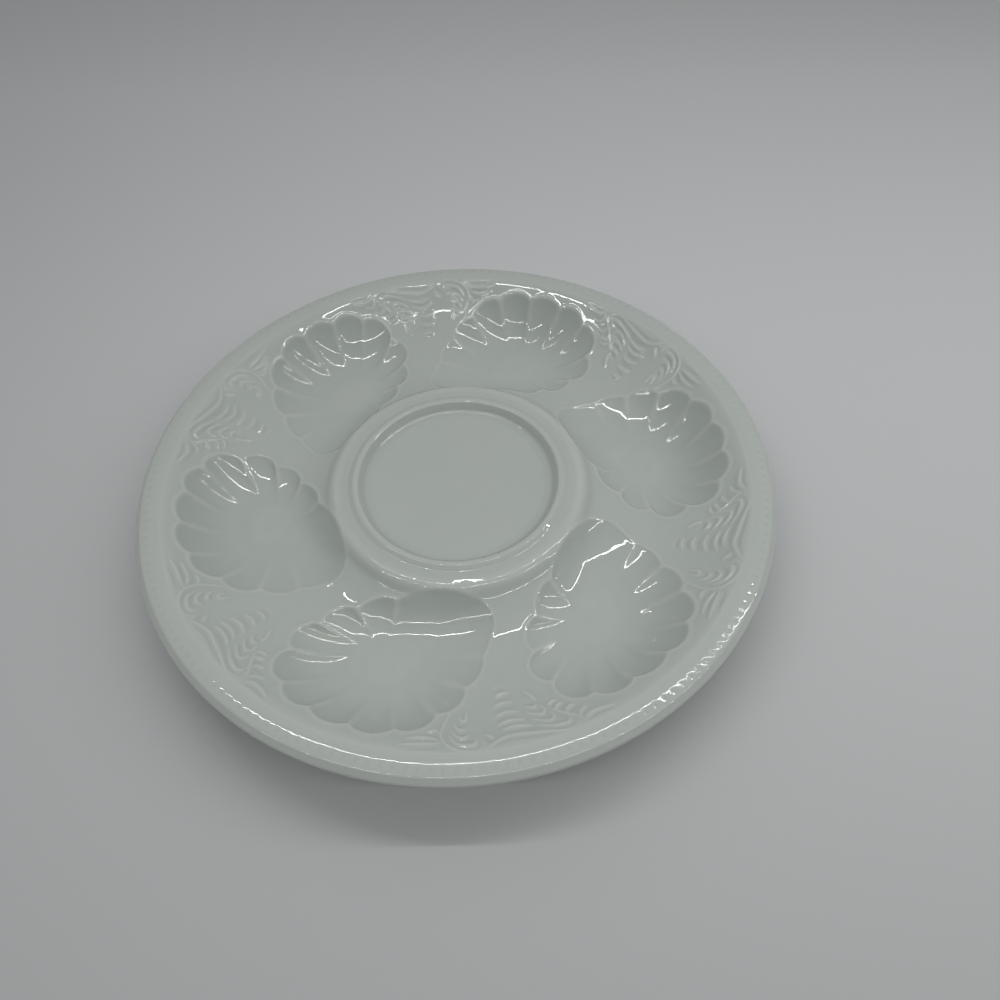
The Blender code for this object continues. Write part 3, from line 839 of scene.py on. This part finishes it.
def ridge_values(points, faces, normals):
    """How far each point stands above the skin around it, where the glaze runs thin, in metres."""
    pairs = edge_pairs(faces)
    here, there = np.concatenate((pairs, pairs[:, ::-1])).T
    count = np.maximum(np.bincount(here, minlength=len(points)), 1)[:, None]
    soft = points.copy()
    for _ in range(RIDGE_ROUNDS):
        sums = [np.bincount(here, soft[there, axis], len(points)) for axis in range(3)]
        soft = (1 - RIDGE_SHARE) * soft + RIDGE_SHARE * np.stack(sums, 1) / count
    return ((points - soft) * normals).sum(1) * smooth_step(*RIDGE_FADE, normals[:, 2])


def border_walls(points, faces):
    """Triangles that join a skin's upper border to the lower one beneath it."""
    edges = edge_pairs(faces).tolist()
    seen = set(map(tuple, edges))
    open_edges = [edge for edge in edges if (edge[1], edge[0]) not in seen]
    stacks = {}
    for i in {i for edge in open_edges for i in edge}:
        place = round(points[i, 0] / WELD), round(points[i, 1] / WELD)
        stacks.setdefault(place, []).append(i)
    below = {}
    for pair in stacks.values():
        low, high = sorted(pair, key=lambda i: points[i, 2])
        below[high] = low
    walls = []
    for start, end in open_edges:
        if start in below and end in below:
            walls += [(end, start, below[start]), (end, below[start], below[end])]
    return np.array(walls, int).reshape(-1, 3)


def new_object(name, data):
    """A new object in the scene."""
    obj = bpy.data.objects.new(name, data)
    bpy.context.scene.collection.objects.link(obj)
    return obj


def skin_object(name, points, normals, ridges, faces):
    """A closed piece cut from the joined skin, which keeps the skin's normals at its borders."""
    walls = border_walls(points, faces)
    used, corners = np.unique(np.concatenate((faces, walls)), return_inverse=True)
    corners = corners.reshape(-1, 3)
    mesh = bpy.data.meshes.new(name)
    mesh.from_pydata(points[used].tolist(), [], corners.tolist())
    mesh.shade_smooth()
    loop_normals = normals[used][corners.ravel()]
    loop_normals[3 * len(faces):] = 0.0
    mesh.normals_split_custom_set(loop_normals.tolist())
    layer = mesh.attributes.new("ridge", "FLOAT", "POINT")
    layer.data.foreach_set("value", ridges[used].astype(np.float32))
    return new_object(name, mesh)


# Materials

def new_material(name):
    """A node material, what links its nodes, its shader and a maker of nodes."""
    material = bpy.data.materials.new(name)
    material.use_nodes = True
    tree = material.node_tree
    shader = tree.nodes["Principled BSDF"]

    def node(kind, **values):
        made = tree.nodes.new(kind)
        for key, value in values.items():
            if hasattr(made, key):
                setattr(made, key, value)
            else:
                made.inputs[key.replace("_", " ").title()].default_value = value
        return made

    return material, tree.links.new, shader, node


def glaze_material():
    """White glaze: greener where it lies thick, whiter over the edges, with a few pinholes."""
    material, link, shader, node = new_material("white_glaze")
    place = node("ShaderNodeTexCoord").outputs["Object"]

    ridge = node("ShaderNodeAttribute", attribute_name="ridge")
    thin = node("ShaderNodeMapRange", interpolation_type="SMOOTHSTEP",
                from_min=GLAZE_RUN[0], from_max=GLAZE_RUN[1])
    link(ridge.outputs["Fac"], thin.inputs["Value"])

    tone = node("ShaderNodeValToRGB")
    tone.color_ramp.elements[0].color = GLAZE_THICK
    tone.color_ramp.elements[1].color = GLAZE_THIN
    tone.color_ramp.elements.new(GLAZE_MIDDLE_PLACE).color = GLAZE_MIDDLE
    link(thin.outputs["Result"], tone.inputs["Fac"])

    cloud = node("ShaderNodeTexNoise", scale=38.0, detail=3.0)
    link(place, cloud.inputs["Vector"])
    drift = node("ShaderNodeValToRGB")
    drift.color_ramp.elements[0].color = GLAZE_CLOUD
    drift.color_ramp.elements[1].color = (1.0, 1.0, 1.0, 1.0)
    link(cloud.outputs["Fac"], drift.inputs["Fac"])
    tinted = node("ShaderNodeMix", data_type="RGBA", blend_type="MULTIPLY", factor=1.0)
    link(tone.outputs["Color"], tinted.inputs[6])
    link(drift.outputs["Color"], tinted.inputs[7])

    cells = node("ShaderNodeTexVoronoi", feature="F1", scale=62.0)
    link(place, cells.inputs["Vector"])
    dot = node("ShaderNodeMapRange", interpolation_type="SMOOTHSTEP",
               from_min=PINHOLE_EDGE[0], from_max=PINHOLE_EDGE[1])
    link(cells.outputs["Distance"], dot.inputs["Value"])
    chosen = node("ShaderNodeMath", operation="GREATER_THAN")
    chosen.inputs[1].default_value = PINHOLE_CHOICE
    link(cells.outputs["Color"], chosen.inputs[0])
    pinhole = node("ShaderNodeMath", operation="MULTIPLY")
    link(dot.outputs["Result"], pinhole.inputs[0])
    link(chosen.outputs["Value"], pinhole.inputs[1])
    speckled = node("ShaderNodeMix", data_type="RGBA")
    link(pinhole.outputs["Value"], speckled.inputs["Factor"])
    link(tinted.outputs[2], speckled.inputs[6])
    speckled.inputs[7].default_value = PINHOLE_COLOR
    link(speckled.outputs[2], shader.inputs["Base Color"])

    smear = node("ShaderNodeTexNoise", scale=120.0, detail=2.0)
    link(place, smear.inputs["Vector"])
    gloss = node("ShaderNodeMapRange", to_min=0.018, to_max=0.036)
    link(smear.outputs["Fac"], gloss.inputs["Value"])
    link(gloss.outputs["Result"], shader.inputs["Roughness"])

    ripple = node("ShaderNodeTexNoise", scale=210.0, detail=1.5)
    link(place, ripple.inputs["Vector"])
    bump = node("ShaderNodeBump", strength=0.35, distance=0.00006)
    link(ripple.outputs["Fac"], bump.inputs["Height"])
    link(bump.outputs["Normal"], shader.inputs["Normal"])
    shader.inputs["IOR"].default_value = 1.52
    return material


def clay_material():
    """Bare fired clay on the foot's base: matt, fine-grained and slightly worn."""
    material, link, shader, node = new_material("bare_clay")
    place = node("ShaderNodeTexCoord").outputs["Object"]
    grain = node("ShaderNodeTexNoise", scale=900.0, detail=4.0)
    link(place, grain.inputs["Vector"])
    tone = node("ShaderNodeValToRGB")
    tone.color_ramp.elements[0].color = CLAY_DARK
    tone.color_ramp.elements[0].position = 0.3
    tone.color_ramp.elements[1].color = CLAY_LIGHT
    tone.color_ramp.elements[1].position = 0.7
    link(grain.outputs["Fac"], tone.inputs["Fac"])
    link(tone.outputs["Color"], shader.inputs["Base Color"])
    bump = node("ShaderNodeBump", strength=0.6, distance=0.0001)
    link(grain.outputs["Fac"], bump.inputs["Height"])
    link(bump.outputs["Normal"], shader.inputs["Normal"])
    shader.inputs["Roughness"].default_value = 0.85
    return material


# Pieces

def foot_object(shell, glaze, clay):
    """The foot ring: flared toward the dish, glazed on its sides and bare where it stands."""
    rows = []
    middle = (FOOT_HIGH.x + abs(FOOT_LOW.x)) / 2 - FOOT_INSET
    angles = 2 * math.pi * np.arange(FOOT_STEPS) / FOOT_STEPS
    for aside, share in FOOT_SECTION:
        radius = middle + aside
        spots = np.stack((radius * np.cos(angles), radius * np.sin(angles)), 1)
        ceiling = shell.underside_height(nearest_shell_frame(spots))
        rows.append(np.column_stack((spots, share * (ceiling + FOOT_BITE))))
    points = np.vstack(rows + rows[:1])
    triangles = ring_triangles(len(rows) + 1, FOOT_STEPS)[:, ::-1]
    points, (faces,) = welded([(points, triangles)])
    normals = vertex_normals(points, faces)
    obj = skin_object("platter_foot", points, normals, np.zeros(len(points)), faces)
    obj.data.materials.append(glaze)
    obj.data.materials.append(clay)
    for face in obj.data.polygons:
        if face.center.z < BARE_HEIGHT:
            face.material_index = 1
    return obj


def floor_object():
    """A pale floor just below the foot, with painted shade that darkens it toward the camera."""
    mesh = bpy.data.meshes.new("floor")
    half = FLOOR_HALF
    corners = [(-half, -half, 0), (half, -half, 0), (half, half, 0), (-half, half, 0)]
    mesh.from_pydata(corners, [], [(0, 1, 2, 3)])
    floor = new_object("floor", mesh)
    floor.location.z = -FLOOR_DROP
    material, link, shader, node = new_material("pale_floor_painted_shade")
    # Painted shade: a gradient from the darker near tone to the paler far tone, across the camera's
    # view
    place = node("ShaderNodeTexCoord").outputs["Object"]
    sweep = node("ShaderNodeMapping", vector_type="TEXTURE")
    sweep.inputs["Location"].default_value = (*from_camera([FLOOR_FADE_START])[0], 0.0)
    sweep.inputs["Rotation"].default_value = (0.0, 0.0, CAMERA_AZIMUTH)
    sweep.inputs["Scale"].default_value = (-FLOOR_FADE, 1.0, 1.0)
    link(place, sweep.inputs["Vector"])
    fade = node("ShaderNodeTexGradient")
    link(sweep.outputs["Vector"], fade.inputs["Vector"])
    tone = node("ShaderNodeValToRGB")
    tone.color_ramp.elements[0].color = FLOOR_NEAR_PAINTED_SHADE
    tone.color_ramp.elements[1].color = FLOOR_FAR
    link(fade.outputs["Fac"], tone.inputs["Fac"])
    link(tone.outputs["Color"], shader.inputs["Base Color"])
    shader.inputs["Roughness"].default_value = 0.6
    floor.data.materials.append(material)
    return floor


def area_light(name, size, power):
    """A rectangular lamp that faces down."""
    lamp = bpy.data.lights.new(name, "AREA")
    lamp.shape = "RECTANGLE"
    lamp.size, lamp.size_y = size
    lamp.energy = power
    return new_object(name, lamp)


def lights():
    """A light tent, open on the camera's side, with two thin lamps overhead and a broad one."""
    world = bpy.data.worlds.new("tent")
    bpy.context.scene.world = world
    world.use_nodes = True
    tree = world.node_tree
    sky = tree.nodes["Background"]
    sky.inputs["Color"].default_value = TENT_COLOR
    toward = tree.nodes.new("ShaderNodeVectorMath")
    toward.operation = "DOT_PRODUCT"
    toward.inputs[1].default_value = (math.cos(CAMERA_AZIMUTH), math.sin(CAMERA_AZIMUTH), 0.0)
    direction = tree.nodes.new("ShaderNodeTexCoord").outputs["Generated"]
    tree.links.new(direction, toward.inputs[0])
    wall = tree.nodes.new("ShaderNodeMapRange")
    wall.interpolation_type = "SMOOTHSTEP"
    wall.inputs["From Min"].default_value = TENT_TURN[0]
    wall.inputs["From Max"].default_value = TENT_TURN[1]
    wall.inputs["To Min"].default_value = TENT_LIGHT
    wall.inputs["To Max"].default_value = TENT_OPENING
    tree.links.new(toward.outputs["Value"], wall.inputs["Value"])
    tree.links.new(wall.outputs["Result"], sky.inputs["Strength"])
    for k, (*ends, power) in enumerate(STRIPS):
        start, end = [Vector((*spot, STRIP_HEIGHT)) for spot in from_camera(ends)]
        run = end - start
        strip = area_light(f"strip_{k + 1}", (run.length, STRIP_WIDTH), power * run.length)
        strip.location = (start + end) / 2
        strip.rotation_euler = (0.0, 0.0, math.atan2(run.y, run.x))
    key = area_light("key", KEY_SIZE, KEY_WATTS)
    key.location = (*from_camera([KEY_PLACE])[0], KEY_HEIGHT)
    key.rotation_euler = (KEY_AIM - key.location).to_track_quat("-Z", "Y").to_euler()
    key.visible_glossy = False


def camera():
    """A camera at the photograph's place and angle."""
    data = bpy.data.cameras.new("camera")
    data.sensor_width = 36.0
    data.lens = data.sensor_width * LENS_PIXELS / FRAME_PIXELS
    data.clip_start = 0.01
    obj = new_object("camera", data)
    level = math.cos(CAMERA_ELEVATION)
    away = Vector((
        math.cos(CAMERA_AZIMUTH) * level,
        math.sin(CAMERA_AZIMUTH) * level,
        math.sin(CAMERA_ELEVATION),
    ))
    right = Vector((0, 0, 1)).cross(away).normalized()
    up = away.cross(right)
    leaned_right = right * math.cos(CAMERA_ROLL) + up * math.sin(CAMERA_ROLL)
    leaned_up = up * math.cos(CAMERA_ROLL) - right * math.sin(CAMERA_ROLL)
    turn = Matrix((leaned_right, leaned_up, away)).transposed().to_4x4()
    obj.matrix_world = Matrix.Translation(CAMERA_TARGET + away * CAMERA_DISTANCE) @ turn
    bpy.context.scene.camera = obj


def platter():
    """All pieces of the platter, on their body."""
    shell = Shell()
    rays = shell_rays(shell)
    one_shell = shell_skin(shell, rays)
    names = ["platter_field", "platter_rim", "platter_center"]
    skins = [all_round(field_skin(shell, rays)), rim_skin(), center_skin()]
    sprigs = [f"seaweed_sprig_{k + 1}" for k in range(WELL_COUNT)]
    nodes = [["field", *sprigs], ["beaded_rim"], ["center_well"]]
    for k in range(WELL_COUNT):
        names.append(f"platter_shell_{k + 1}")
        skins.append((turned(one_shell[0], k * PITCH), one_shell[1]))
        nodes.append([f"shell_well_{k + 1}"])
    points, cut_faces = welded(skins)
    points[:, 2] += np.where(points[:, 2] > RIM_LOW.z, WOBBLE_HIGH, 1.0) * hand_wobble(points)
    points[:, 2] = np.minimum(points[:, 2], RIM_HIGH.z)
    everything = np.concatenate(cut_faces)
    normals = vertex_normals(points, everything)
    ridges = ridge_values(points, everything, normals)
    glaze, clay = glaze_material(), clay_material()
    for name, faces, stands_for in zip(names, cut_faces, nodes):
        piece = skin_object(name, points, normals, ridges, faces)
        piece.data.materials.append(glaze)
        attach(piece, "root")
        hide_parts(*stands_for)
    foot = foot_object(shell, glaze, clay)
    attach(foot, "root")
    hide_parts("foot_ring")


platter()
floor_object()
lights()
camera()
bpy.context.scene.view_settings.view_transform = "Standard"
bpy.context.view_layer.update()
